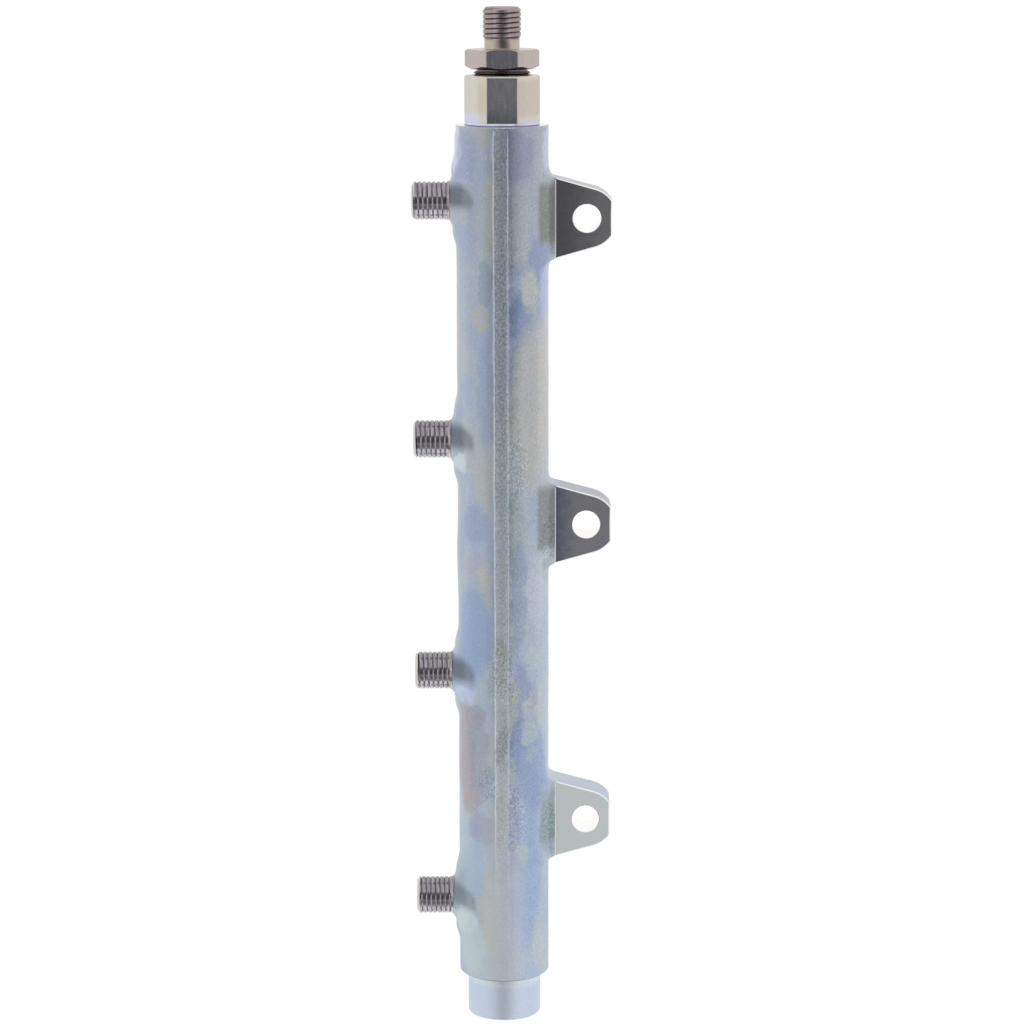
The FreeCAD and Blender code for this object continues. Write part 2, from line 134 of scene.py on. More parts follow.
def combine(piece, tool, operation):
    """Join, cut or keep the common part of two closed solids."""
    modifier = piece.modifiers.new("combine", "BOOLEAN")
    modifier.operation = operation
    modifier.solver = "MANIFOLD"
    modifier.object = tool
    graph = bpy.context.evaluated_depsgraph_get()
    mesh = bpy.data.meshes.new_from_object(piece.evaluated_get(graph))
    piece.modifiers.clear()
    before = piece.data
    piece.data = mesh
    bpy.data.meshes.remove(before)
    tool_mesh = tool.data
    bpy.data.objects.remove(tool)
    bpy.data.meshes.remove(tool_mesh)


def along_y(radius, angles, y):
    """A ring about the rail's axis; radius and y may change round it."""
    radius = np.broadcast_to(radius, angles.shape)
    y = np.broadcast_to(y, angles.shape)
    return np.stack([radius * np.cos(angles), y, radius * np.sin(angles)], -1)


def hexagon_radius(angles, flats, turned):
    """Radius of a turned hexagon that has one flat towards +Z."""
    nearest = (angles - math.pi / 2 + math.pi / 6) % (math.pi / 3) - math.pi / 6
    return np.minimum(flats / 2 / np.cos(nearest), turned)


def hexagon_ends(flats, turned):
    """Angles at which the flats of that hexagon end."""
    half_flat = math.acos(flats / 2 / turned)
    return [math.pi / 2 + k * math.pi / 3 + side * half_flat for k in range(6) for side in (-1, 1)]


def even(count):
    """Angles evenly spaced round a turn."""
    return np.arange(count) * 2 * math.pi / count


def with_angles(base, special, apart):
    """Even angles plus special ones, leaving out even ones that crowd the special."""
    special = np.unique(np.round(np.mod(special, 2 * math.pi), 5))
    gap = np.abs((base[:, None] - special[None, :] + math.pi) % (2 * math.pi) - math.pi).min(1)
    return np.sort(np.concatenate([base[gap > apart], special]))


def smooth(t):
    """0 below 0, 1 above 1, and an S curve between."""
    t = np.clip(t, 0.0, 1.0)
    return t * t * (3 - 2 * t)


def soft_min(a, b, width):
    """The smaller of two distances, with a blend of this width where they are alike."""
    share = np.maximum(width - np.abs(a - b), 0.0) / width
    return np.minimum(a, b) - share * share * width / 4


def soft_max(a, b, width):
    return -soft_min(-a, -b, width)


def turned_solid(name, outline, place, around):
    """A turned solid from (radius, height) pairs about local +Z, set by place."""
    angles = even(around)
    place = np.array(place)
    rings = [np.stack([r * np.cos(angles), r * np.sin(angles), np.full(around, z)], -1)
             @ place[:3, :3].T + place[:3, 3] for r, z in outline]
    return loft(name, rings, False)


def screw_thread(name, root, crest, start, end, top_chamfer, foot_chamfer, place, around=64):
    """A solid right-handed screw about local +Z from start to end, set by place."""
    rows = len(THREAD_PROFILE)
    turns = int(math.ceil((end - start) / PITCH)) + 3
    count = turns * rows
    low = start - 2 * PITCH
    points, number = [], {}
    for row in range(count + 1 + rows):
        columns = range(around) if row <= count else (0,)
        for column in columns:
            share = column / around
            angle = 2 * math.pi * share
            along, height = THREAD_PROFILE[row % rows]
            radius = root + (crest - root) * height
            number[row, column] = len(points)
            points.append((radius * math.cos(angle), radius * math.sin(angle),
                           low + (row // rows + along + share) * PITCH))

    def at(row, column):
        return number[row + rows, 0] if column == around else number[row, column]

    faces = [(at(r, c), at(r, c + 1), at(r + 1, c + 1), at(r + 1, c))
             for r in range(count) for c in range(around)]
    for row, height in ((0, low - PITCH), (count, low + (turns + 2) * PITCH)):
        loop = [at(row, c) for c in range(around + 1)]
        loop += [at(r, 0) for r in range(row + rows - 1, row - 1, -1)]
        points.append((0.0, 0.0, height))
        middle = len(points) - 1
        for first, second in zip(loop, loop[1:]):
            faces.append((first, second, middle))
    turned = np.array(place)
    solid = np.array(points) @ turned[:3, :3].T + turned[:3, 3]
    screw = new_piece(name, to_frame(solid), faces)
    clear = crest + LIMIT_CLEAR
    outline = ((crest - foot_chamfer, start), (clear, start + foot_chamfer + LIMIT_CLEAR),
               (clear, end - top_chamfer - LIMIT_CLEAR), (crest - top_chamfer, end))
    combine(screw, turned_solid(name + "_limit", outline, place, around * 2), "INTERSECT")
    return screw


def finish_shading(piece):
    mesh = piece.data
    mesh.polygons.foreach_set("use_smooth", np.ones(len(mesh.polygons), bool))
    mesh.set_sharp_from_angle(angle=SHARP)
    mesh.update()


# Rail body: the forged skin is a radius for every angle and height, found from soft blends of the
# round body, the swellings and flares of the outlets and the roots of the ears.

# The body swells round each outlet. The swelling is level for a way above and below the outlet's axis
# and then falls to the body.
SWELLING, SWELLING_TURN = 1.2, math.radians(66)
LEVEL_ABOVE, FALL_ABOVE = 8.5, 7.5
LEVEL_BELOW, FALL_BELOW = 9.5, 5.5
# An outlet's flare widens from its collar towards the body, and its blend into the body is tight at the
# front and wider above and below.
FLARE_SLOPE, FLARE_START, FLARE_EDGE = 0.5, 8.5, 3.0
FLARE_BLEND, FLARE_MORE = 1.6, 2.6
# The blend of an ear's root is tighter towards its step and on its flat faces.
ROOT_START, ROOT_EDGE, STEP_EDGE = 4.0, 0.8, 0.5
ROOT_BLEND, ROOT_LESS_AT_STEP, ROOT_LESS_ON_FACE = 4.4, 2.2, 1.4
# The forging's waves: length and height. The body is drawn a little small to leave room for them.
LONG_WAVE, SHORT_WAVE = (11.0, 0.09), (4.0, 0.035)
WAVE_ROOM = 0.06
# Two low bulges within this many degrees of the left, one at the middle and one at the upper end:
# height, place along the rail and reach.
BULGE_TURN = 40
MIDDLE_BULGE, TOP_BULGE = (0.3, -10.5, 15), (0.5, 108, 6)
# The skin's radius is found between these by halving.
SEARCH_LOW, SEARCH_HIGH, HALVINGS = 10.0, 19.0, 26
# The land's edges wander by this much, and each has a fine burr.
WANDER_LENGTH, WANDER = 6.0, 0.16
BURR, BURR_WIDTH = 0.06, 0.22
# On its way down the land's right edge gets worn, the land and its burr get lower, and it fades out
# before the foot: height at which each change starts, and over what length.
GETS_WORN, GETS_LOWER, BURR_LOWER, FADES_OUT = (104, 12), (50, 90), (30, 60), (-84, 28)


def rough(points, size, seed):
    """Soft noise from -1 to 1 at each point of a grid."""
    shift = Vector((seed * 13.7, seed * 7.1, seed * 3.3))
    flat = points.reshape(-1, 3)
    return np.array([noise.noise(Vector(p) / size + shift) for p in flat]).reshape(points.shape[:-1])


def down(y, stretch):
    """0 above the start of a stretch of height, 1 below its end."""
    start, length = stretch
    return smooth((start - y) / length)


def swelling(x, y, z):
    """Height of the body's swelling round the outlets."""
    turn = np.abs(np.arctan2(z, -x))
    facing = smooth(1.08 - turn / SWELLING_TURN)
    height = 0.0
    for outlet in OUTLETS:
        away = y - outlet
        above, below = 1 - (away - LEVEL_ABOVE) / FALL_ABOVE, 1 - (-away - LEVEL_BELOW) / FALL_BELOW
        reach = np.where(away > 0, above, below)
        height = height + SWELLING * smooth(reach) * facing
    return height


def flare(x, y, z, outlet):
    """How far a point lies outside an outlet's flare."""
    away = np.hypot(z, y - outlet)
    cone = (away - COLLAR_RAD - (COLLAR_REACH + x) * FLARE_SLOPE) / math.hypot(1, FLARE_SLOPE)
    return np.maximum(soft_max(cone, x + FLARE_START, FLARE_EDGE), -x - COLLAR_REACH)


def skin_distance(x, y, z, body):
    """How far a point lies outside the forged form, without its flash land."""
    distance = np.hypot(x, z) - body - swelling(x, y, z)
    for outlet in OUTLETS:
        aside = smooth((np.abs(z) - 2.0) / 4.0) * smooth((-7.0 - x) / 5.0)
        distance = soft_min(distance, flare(x, y, z, outlet), FLARE_BLEND + FLARE_MORE * aside)
    for ear in EARS:
        along = x - EAR_X
        side = along * math.sin(EAR_SLOPE) + np.abs(y - ear) * math.cos(EAR_SLOPE) - EAR_ROUND
        flat = np.abs(z) - EAR_HALF - EAR_SKIN - (EAR_STEP - x) * ROOT_SLOPE
        root = soft_max(side, flat / math.hypot(1, ROOT_SLOPE), ROOT_EDGE)
        root = np.maximum(np.maximum(root, x - EAR_STEP), ROOT_START - x)
        on_face = smooth((np.abs(z) - 4.5) / 2.5) * smooth((-side - 0.8) / 3.0)
        at_step = smooth((x - 13.0) / 3.5)
        width = ROOT_BLEND - ROOT_LESS_AT_STEP * at_step - ROOT_LESS_ON_FACE * on_face
        distance = soft_min(distance, root, width)
    return soft_max(distance, x - EAR_STEP, STEP_EDGE)


def skin_radius(angles, heights):
    """The forged skin's radius, a row for each height and a column for each angle."""
    angle, y = np.meshgrid(angles, heights)
    round_body = np.stack([np.cos(angle) * BODY_RAD, y, np.sin(angle) * BODY_RAD], -1)
    wave = sum(rough(round_body, length, seed) * height
               for seed, (length, height) in enumerate((LONG_WAVE, SHORT_WAVE), 1))
    ends = smooth((BODY_TOP - 1.0 - y) / 3) * smooth((y - BODY_FOOT - 1.0) / 3)
    left = smooth(1 - np.abs(np.degrees(angle) - 180) / BULGE_TURN)
    (middle_height, middle_y, middle_reach), (top_height, top_y, top_reach) = MIDDLE_BULGE, TOP_BULGE
    bulge = left * (middle_height * smooth(1 - np.abs(y - middle_y) / middle_reach)
                    + top_height * smooth((y - top_y) / top_reach))
    body = BODY_RAD - WAVE_ROOM + (wave + bulge) * ends
    low, high = np.full(angle.shape, SEARCH_LOW), np.full(angle.shape, SEARCH_HIGH)
    for _ in range(HALVINGS):
        middle = (low + high) / 2
        outside = skin_distance(middle * np.cos(angle), y, middle * np.sin(angle), body) > 0
        low, high = np.where(outside, low, middle), np.where(outside, middle, high)
    radius = (low + high) / 2
    return radius + land_height(radius, angle, y) * (ends * (1 - down(y, FADES_OUT)))


def land_height(radius, angle, y):
    """Height of the trimmed flash land on the skin, with a fine burr along each edge."""
    across = radius * np.cos(angle) - LAND_SHIFT
    beside = np.stack([np.sign(across) * 9.0, y, np.sign(np.sin(angle)) * 9.0], -1)
    edge = np.abs(across) - LAND_HALF - rough(beside, WANDER_LENGTH, 3) * WANDER
    worn = np.where(across < 0, 0.0, down(y, GETS_WORN))
    land = LAND_HEIGHT * smooth(0.5 - edge / (0.5 + 0.9 * worn)) * 0.7
    land = land * (1 - down(y, GETS_LOWER) * (0.4 + 0.3 * worn))
    burr = BURR * np.exp(-(edge / BURR_WIDTH) ** 2) * (1 - 0.95 * worn)
    return land + burr * (1 - 0.75 * down(y, BURR_LOWER))


def ear_plate(y):
    """The milled plate of an ear with its hole, as a solid that starts inside the body."""
    start = -(EAR_X - EAR_START)
    tangent = math.atan2(math.cos(EAR_SLOPE), math.sin(EAR_SLOPE))
    tip = math.acos(EAR_TIP / EAR_ROUND)
    back = math.atan2((EAR_ROUND - start * math.sin(EAR_SLOPE)) / math.cos(EAR_SLOPE), start)
    angles = with_angles(even(96), np.array([tangent, -tangent, tip, -tip, back, -back]), 0.02)
    cosine, sine = np.cos(angles), np.sin(angles)
    reach = np.full(len(angles), EAR_ROUND)
    side = cosine * math.sin(EAR_SLOPE) + np.abs(sine) * math.cos(EAR_SLOPE)
    wide = np.abs(np.arctan2(sine, cosine)) > tangent
    reach = np.where(wide, EAR_ROUND / np.maximum(side, 0.01), reach)
    reach = np.where(cosine > 0.01, np.minimum(reach, EAR_TIP / np.maximum(cosine, 0.01)), reach)
    reach = np.where(cosine < -0.01, np.minimum(reach, start / np.minimum(cosine, -0.01)), reach)

    def ring(radius, z):
        return np.stack([EAR_X + radius * cosine, y + radius * sine, np.full(len(angles), z)], -1)

    hole = np.full(len(angles), EAR_HOLE_RAD)
    edge = EAR_HALF - EAR_CHAMFER
    rings = [ring(hole + HOLE_RIM, -EAR_HALF), ring(reach - EAR_CHAMFER, -EAR_HALF), ring(reach, -edge),
             ring(reach, edge), ring(reach - EAR_CHAMFER, EAR_HALF), ring(hole + HOLE_RIM, EAR_HALF),
             ring(hole, EAR_HALF - HOLE_RIM), ring(hole, HOLE_RIM - EAR_HALF)]
    return loft("ear_plate", rings, True)


def body_angles():
    """Angles of the body's columns: even, and closer at the flats, the land, the ears and their steps."""
    special = hexagon_ends(BOSS_FLATS, BOSS_RAD)
    for edge in (LAND_SHIFT - LAND_HALF, LAND_SHIFT + LAND_HALF):
        front = math.acos(edge / (BODY_RAD + 0.1))
        for step in (-1.6, -1.0, -0.5, 0.0, 0.5, 1.0, 1.6):
            special += [front + math.radians(step), -front + math.radians(step)]
    special += [math.radians(turn) for turn in range(-31, 32, 2)]
    step_edge = math.atan2(EAR_HALF + EAR_SKIN, EAR_STEP)
    special += [side * (step_edge + math.radians(turn)) for side in (-1, 1)
                for turn in (-0.5, -0.2, 0.0, 0.25, 0.5, 0.8, 1.2)]
    return with_angles(even(SKIN_COLUMNS), np.array(special), math.radians(0.35))


def add_outlet(rail, outlet, turn):
    """Join an outlet's collar and thread to the rail and drill it; turn sets the thread's start."""
    out = Matrix.Translation((0, outlet, 0)) @ Matrix.Rotation(math.radians(-90), 4, "Y")
    collar = turned_solid("collar", (
        (COLLAR_RAD - 0.1, COLLAR_START), (COLLAR_RAD, COLLAR_START + 0.1),
        (COLLAR_RAD, COLLAR_REACH - COLLAR_RIM), (COLLAR_RAD - COLLAR_RIM, COLLAR_REACH),
        (CREST_RAD + 0.03, THREAD_REACH + 0.3), (ROOT_RAD - 0.2, THREAD_REACH + 0.34),
        (ROOT_RAD - 0.3, THREAD_REACH + 0.5)), out, 72)
    screw = screw_thread("outlet_screw", ROOT_RAD, CREST_RAD, COLLAR_START + 1.0, OUTLET_REACH,
                         OUTLET_CHAMFER, 0.1, out @ Matrix.Rotation(turn, 4, "Z"))
    combine(collar, screw, "UNION")
    combine(rail, collar, "UNION")
    depth = (SEAT_MOUTH_RAD - BORE_RAD) / math.tan(math.radians(30))
    bore = ((BORE_RAD, 0.0), (BORE_RAD, OUTLET_REACH - depth), (SEAT_MOUTH_RAD, OUTLET_REACH),
            (SEAT_MOUTH_RAD, OUTLET_REACH + 1))
    combine(rail, turned_solid("drill", bore, out, 48), "DIFFERENCE")


def make_rail_body():
    """Skin, bosses and bores as rings round the axis, then ears, outlets and the port's thread."""
    angles = body_angles()
    rows = np.linspace(BODY_FOOT + 1.0, BODY_TOP - 1.0, SKIN_ROWS)
    heights = np.concatenate([[BODY_FOOT + RIM], rows, [BODY_TOP - RIM]])
    radius = skin_radius(angles, heights)
    # The lower boss has a neck under the body, turned a little smaller.
    neck = BOSS_RAD - 0.08
    foot = [
        (SENSOR_MOUTH, BOSS_FOOT), (BOSS_RAD - BOSS_CHAMFER, BOSS_FOOT),
        (BOSS_RAD, BOSS_FOOT + BOSS_CHAMFER), (BOSS_RAD, BODY_FOOT - 2.5), (BOSS_RAD, BODY_FOOT - 2.4),
        (neck, BODY_FOOT - 2.3), (neck, BODY_FOOT - 2.2), (neck, BODY_FOOT - 0.4),
        (neck, BODY_FOOT - 0.3), (BOSS_RAD + 0.2, BODY_FOOT), (radius[0] - RIM, BODY_FOOT),
    ]
    # The upper boss stands on a relief and has a turned hexagon; its bores follow, down to the sensor's.
    relief_top = BODY_TOP + RELIEF_WIDTH
    hexagon = hexagon_radius(angles, BOSS_FLATS, BOSS_RAD)
    face = hexagon_radius(angles, BOSS_FLATS - 2 * BOSS_RIM, BOSS_RAD - BOSS_RIM)
    top = [
        (radius[-1] - RIM, BODY_TOP), (RELIEF_RAD + 0.45, BODY_TOP), (RELIEF_RAD + 0.42, BODY_TOP + 0.05),
        (RELIEF_RAD + 0.40, BODY_TOP + 0.3), (RELIEF_RAD + 0.36, BODY_TOP + 0.35),
        (np.minimum(hexagon + 0.2, RELIEF_RAD + 0.33), relief_top - 0.05),
        (np.minimum(hexagon + 0.15, RELIEF_RAD + 0.3), relief_top), (hexagon, relief_top + 0.01),
        (hexagon, BOSS_TOP - BOSS_RIM), (face, BOSS_TOP), (INLET_RAD + INLET_RIM, BOSS_TOP),
        (INLET_RAD, BOSS_TOP - INLET_RIM), (INLET_RAD, BOSS_TOP - INLET_ENGAGE),
        (SEAT_RAD, BOSS_TOP - INLET_ENGAGE - 1.0), (SEAT_RAD, BOSS_TOP - INLET_DEPTH),
        (GALLERY_RAD, BOSS_TOP - INLET_DEPTH), (GALLERY_RAD, BOSS_FOOT + SENSOR_DEPTH),
        (SENSOR_RAD, BOSS_FOOT + SENSOR_DEPTH), (SENSOR_RAD, BOSS_FOOT + SENSOR_MOUTH - SENSOR_RAD),
    ]
    outline = foot + list(zip(radius, heights)) + top
    rail = loft("rail_body_skin", [along_y(r, angles, y) for r, y in outline], True)
    for ear in EARS:
        combine(rail, ear_plate(ear), "UNION")
    for count, outlet in enumerate(OUTLETS):
        add_outlet(rail, outlet, FIRST_TURN + NEXT_TURN * count)
    up = Matrix.Translation((0, BOSS_FOOT, 0)) @ Matrix.Rotation(math.radians(-90), 4, "X")
    cutter = screw_thread("sensor_screw", SENSOR_RAD - 0.3, SENSOR_CREST, -0.5, SENSOR_DEPTH - 1.2,
                          0.6, 0.0, up)
    combine(rail, cutter, "DIFFERENCE")
    return rail


def make_union():
    """The union by its turned outline, from the nose past the one crest that shows to the seat."""
    angles = with_angles(even(96), np.array(hexagon_ends(UNION_FLATS, UNION_RAD)), math.radians(1.0))
    hexagon = hexagon_radius(angles, UNION_FLATS, UNION_RAD)
    fall = np.maximum(hexagon - UNION_FACE_RAD, 0.0) * HEX_SLOPE + 0.02
    rise = (hexagon - UNION_UNDERFACE_RAD) * HEX_SLOPE
    neck_top = UNION_HEIGHT + NECK
    tip = neck_top + STUD
    seat = SEAT_MOUTH_RAD - UNION_BORE
    cone_depth = seat / math.tan(math.radians(30))
    outline = [
        (UNION_BORE, -UNION_UNDER), (UNION_NOSE_RAD - NOSE_CHAMFER, -UNION_UNDER),
        (UNION_NOSE_RAD, NOSE_CHAMFER - UNION_UNDER), (UNION_NOSE_RAD, UNION_NOSE - UNION_UNDER),
        (UNION_ROOT, UNION_NOSE - UNION_UNDER + 0.3), (UNION_ROOT, UNION_CREST_LOW - 0.6),
        (UNION_CREST, UNION_CREST_LOW), (UNION_CREST, UNION_CREST_HIGH), (UNDERCUT_RAD, UNDERCUT_LOW),
        (UNDERCUT_RAD, UNDERCUT_HIGH), (UNDERCUT_RAD + 0.2, 0.0),
        (UNION_UNDERFACE_RAD, 0.0), (hexagon, rise), (hexagon, UNION_HEIGHT - fall),
        (np.minimum(hexagon, UNION_FACE_RAD) - 0.02, UNION_HEIGHT),
        (NECK_RAD + 0.5, UNION_HEIGHT), (NECK_RAD + 0.15, UNION_HEIGHT + 0.15),
        (NECK_RAD, UNION_HEIGHT + 0.5), (NECK_RAD, neck_top - 0.4), (ROOT_RAD, neck_top + 0.1),
        (ROOT_RAD, tip - STUD_CHAMFER),
        (CREST_RAD - STUD_CHAMFER, tip), (SEAT_MOUTH_RAD, tip),
        (UNION_BORE, tip - cone_depth),
    ]
    union = loft("inlet_union_skin", [along_y(r, angles, y + UNION_SEAT) for r, y in outline], True)
    up = Matrix.Translation((0, UNION_SEAT, 0)) @ Matrix.Rotation(math.radians(-90), 4, "X")
    stud = screw_thread("stud_screw", ROOT_RAD, CREST_RAD, neck_top, tip, STUD_CHAMFER, 0.55,
                        up @ Matrix.Rotation(STUD_TURN, 4, "Z"), 72)
    # The stud's own drilling goes a hair less deep than the outline's cone, so that no faces coincide.
    bore = ((UNION_BORE, 0.0), (UNION_BORE, tip - seat * 1.732), (SEAT_MOUTH_RAD, tip),
            (SEAT_MOUTH_RAD, tip + 1))
    combine(stud, turned_solid("drill", bore, up, 48), "DIFFERENCE")
    combine(union, stud, "UNION")
    return union


rail, union = make_rail_body(), make_union()
finish_shading(rail)
finish_shading(union)


# Materials

class Tree:
    """Short calls for building a shader tree."""

    def __init__(self, owner):
        self.tree = owner.node_tree
        self.tree.nodes.clear()

    def add(self, kind, inputs=None, **settings):
        node = self.tree.nodes.new("ShaderNode" + kind)
        for key, setting in settings.items():
            setattr(node, key, setting)
        for key, source in (inputs or {}).items():
            socket = node.inputs[key]
            if isinstance(source, bpy.types.NodeSocket):
                self.tree.links.new(source, socket)
            else:
                socket.default_value = source
        return node

    def math(self, operation, *sources):
        return self.add("Math", dict(enumerate(sources)), operation=operation).outputs[0]

    def plus(self, first, second):
        return self.math("ADD", first, second)

    def minus(self, first, second):
        return self.math("SUBTRACT", first, second)

    def times(self, first, second):
        return self.math("MULTIPLY", first, second)

    def scaled(self, source, factor, offset):
        """source x factor + offset"""
        return self.math("MULTIPLY_ADD", source, factor, offset)

    def size(self, source):
        """The source without its sign."""
        return self.math("ABSOLUTE", source)

    def length(self, first, second):
        return self.math("SQRT", self.plus(self.times(first, first), self.times(second, second)))

    def vector(self, operation, *sources):
        return self.add("VectorMath", dict(enumerate(sources)), operation=operation).outputs[0]

    def axes(self, vector):
        return self.add("SeparateXYZ", {0: vector}).outputs

    def mix(self, share, first, second, blend="MIX"):
        node = self.add("Mix", {0: share, 6: first, 7: second}, data_type="RGBA", blend_type=blend)
        return node.outputs[2]

    def noise(self, where, scale, detail, roughness, distortion=0.0, output="Fac"):
        node = self.add("TexNoise", {"Vector": where, "Scale": scale, "Detail": detail,
                                     "Roughness": roughness, "Distortion": distortion})
        return node.outputs[output]

    def band(self, source, low, high, kind="SMOOTHSTEP"):
        """0 up to low, 1 from high on, in whichever order they stand."""
        node = self.add("MapRange", {0: source, 1: low, 2: high, 3: 0.0, 4: 1.0}, interpolation_type=kind)
        return node.outputs[0]


def new_material(name):
    material = bpy.data.materials.new(name)
    material.use_nodes = True
    return material, Tree(material)


def rgb(red, green, blue):
    """A colour given as 0 to 255 display values."""
    def linear(value):
        value = value / 255
        return value / 12.92 if value <= 0.04045 else ((value + 0.055) / 1.055) ** 2.4
    return (linear(red), linear(green), linear(blue), 1.0)


def rail_coordinates(t):
    """Millimetres about the rail's axis."""
    scaled = t.vector("MULTIPLY", t.add("TexCoord").outputs["Object"], (1000, 1000, 1000))
    return t.vector("ADD", scaled, (-AXIS_X, 0, -AXIS_Z))


def surface(t, colour, roughness, height, bump_distance):
    """Metal with this colour, roughness and relief; the relief's depth is in metres."""
    bump = t.add("Bump", {"Height": height, "Distance": bump_distance, "Strength": 1.0})
    shader = t.add("BsdfPrincipled", {"Base Color": colour, "Roughness": roughness, "Metallic": 1.0,
                                      "Normal": bump.outputs[0]})
    t.add("OutputMaterial", {"Surface": shader.outputs[0]})


# Light and dark of the grain that is laid over each plain metal.
GRAIN_DARK, GRAIN_LIGHT = rgb(70, 70, 75), rgb(235, 235, 235)

# The stains below are laid on with this share of their own strength.
STAINING = 0.95

# Stained places of the passivated zinc, and one painted highlight: centre in millimetres about the
# rail's axis, size along each axis, colour and strength.
STAINS_AND_HIGHLIGHT = (
    # right of the flash land, from the upper end down
    ((5.5, 117, 13.4), (5, 9, 6), (152, 154, 176), 0.6),
    ((11, 84, 9.5), (3.5, 7, 6), (142, 156, 192), 0.65),
    ((13.6, 74, 5), (2.2, 12, 5), (188, 192, 230), 0.7),
    ((6, 66, 13.2), (4.5, 10, 5), (130, 150, 188), 0.85),
    ((8.7, 75.5, 11.6), (2.9, 6.8, 4), (190, 194, 190), 0.95),
    ((9, 40, 11.5), (7.5, 26, 9), (188, 187, 184), 0.85),
    ((13.5, 42, 5), (3, 26, 8), (196, 194, 192), 0.8),
    ((4, 0, 14), (3.5, 12, 4), (166, 178, 184), 0.6),
    ((10.5, -20, 10), (4, 13.5, 6), (190, 198, 210), 0.85),
    ((5, -22, 13.6), (2.5, 18, 4), (150, 166, 192), 0.6),
    ((8.5, -46, 11.8), (6.5, 10, 6), (176, 188, 212), 0.7),
    ((10, -42, 11), (3, 4.2, 4), (190, 200, 206), 0.7),
    ((5.8, -53, 13.3), (2.3, 9.5, 4), (148, 159, 194), 0.7),
    ((9.2, -56, 11.4), (2.2, 4.6, 4), (172, 168, 182), 0.5),
    ((7.2, -58.5, 12.5), (1.6, 2, 3), (192, 198, 190), 0.7),
    ((4.8, -69, 13.7), (2.8, 7.5, 4), (138, 156, 190), 0.8),
    ((8.8, -78, 11.5), (7, 16, 8), (148, 166, 204), 0.8),
    ((8.4, -66.8, 11.8), (3.3, 4, 4), (180, 194, 202), 0.95),
    ((9.2, -74, 11.3), (1.6, 2.6, 3), (176, 192, 200), 0.6),
    ((6.4, -114, 12.9), (7, 24, 8), (160, 180, 216), 0.75),
    ((6, -106, 13.2), (2, 3.4, 3), (182, 198, 198), 0.75),
    ((14, -98, 8), (3.2, 9, 4), (146, 166, 166), 0.7),
    ((13.6, -14, 5), (2, 5, 5), (168, 172, 178), 0.6),
    ((13.8, 119, 3.5), (1.5, 8, 6), (206, 208, 228), 0.6),
    # left of the flash land
    ((-14.4, 119, 3), (1.8, 7, 6), (218, 224, 242), 0.7),
    ((-13.6, 8, 4.5), (2.2, 44, 7), (164, 172, 192), 0.5),
    ((-11.5, 117, 8.8), (4.2, 7.5, 6), (154, 164, 194), 0.6),
    ((-5.4, 123, 13.4), (2.4, 3.6, 4), (176, 178, 162), 0.6),
    ((-3.6, 96, 14), (1.2, 16, 4), (186, 186, 172), 0.5),
    ((-5.2, 78, 13.5), (2.2, 7.5, 4), (148, 164, 180), 0.75),
    ((-6.6, 67, 12.8), (3, 4.6, 4), (182, 184, 180), 0.9),
    ((-5.4, 43, 13.4), (3, 18, 4), (156, 172, 194), 0.8),
    ((-12.8, 21, 6.5), (2.6, 4, 5), (206, 218, 220), 0.8),
    ((-5.6, 14, 13.3), (3.2, 8, 4.5), (184, 188, 184), 0.8),
    ((-9, 0.5, 11.3), (5.2, 6.4, 6), (154, 168, 198), 0.65),
    ((-8, -12.5, 12), (6.5, 5, 6), (180, 178, 194), 0.7),
    ((-5.8, -17, 13.3), (2.6, 6.6, 4), (186, 190, 184), 0.85),
    ((-9.5, -33, 10.9), (6.5, 15, 8), (150, 170, 202), 0.8),
    ((-12, -55, 8), (3.6, 3.6, 5), (192, 206, 236), 0.85),
    ((-9.2, -62, 11.2), (4, 4.4, 5), (162, 160, 167), 0.55),
    ((-12.4, -75, 8.6), (3.4, 19, 8), (172, 158, 167), 0.8),
    ((-7.8, -73, 12.2), (3.4, 14, 6), (158, 160, 174), 0.6),
    ((-8, -86, 12.2), (4, 4.5, 5), (158, 160, 186), 0.5),
    ((-10.5, -90, 10), (4, 4.5, 6), (180, 169, 168), 0.7),
    ((-7.6, -98.5, 12.4), (4.8, 5, 5), (160, 162, 190), 0.6),
    ((-9.5, -112, 11), (6, 10, 7), (176, 194, 212), 0.8),
    ((-4.8, -126, 13.8), (3, 16, 4), (192, 194, 182), 0.75),
    # painted highlight under the lowest outlet's flare
    ((-12, -130, 8.5), (4.6, 4.6, 6), (220, 230, 236), 0.65),
    ((-10.5, -139, 10), (5, 9, 7), (196, 212, 216), 0.8),
    # end boss
    ((9, -157, 7.5), (3, 4, 5), (202, 196, 214), 0.7),
    ((-9.5, -159.5, 7), (3, 3, 5), (206, 198, 206), 0.6),
)


# Places with a coarse, curling surface, given like the stains without a colour.
CURLED = (
    ((-1, -48, 14.3), (4.6, 11, 5)),
    ((-3.8, -83, 13.9), (5.4, 7, 5)),
    ((2.5, -95, 14), (4.6, 12, 5)),
    ((4.2, 20, 13.8), (3.4, 12, 5)),
    ((14.5, -4, 6.5), (3.5, 8, 5)),
    ((14.5, -97, 6.5), (3.5, 7, 5)),
)

# Stains on the land itself.
LAND_STAINS = (
    ((-0.6, -44, 14.5), (3, 9, 3), (176, 182, 172), 0.5),
    ((3.4, -55, 14.1), (1.7, 4.4, 3), (184, 194, 180), 0.45),
    ((-0.6, -70, 14.5), (2.4, 6.6, 3), (158, 162, 174), 0.45),
    ((-0.9, -94, 14.4), (1.9, 9, 3), (200, 208, 198), 0.6),
    ((3.2, -97, 14.1), (1.7, 13, 3), (152, 162, 200), 0.7),
)


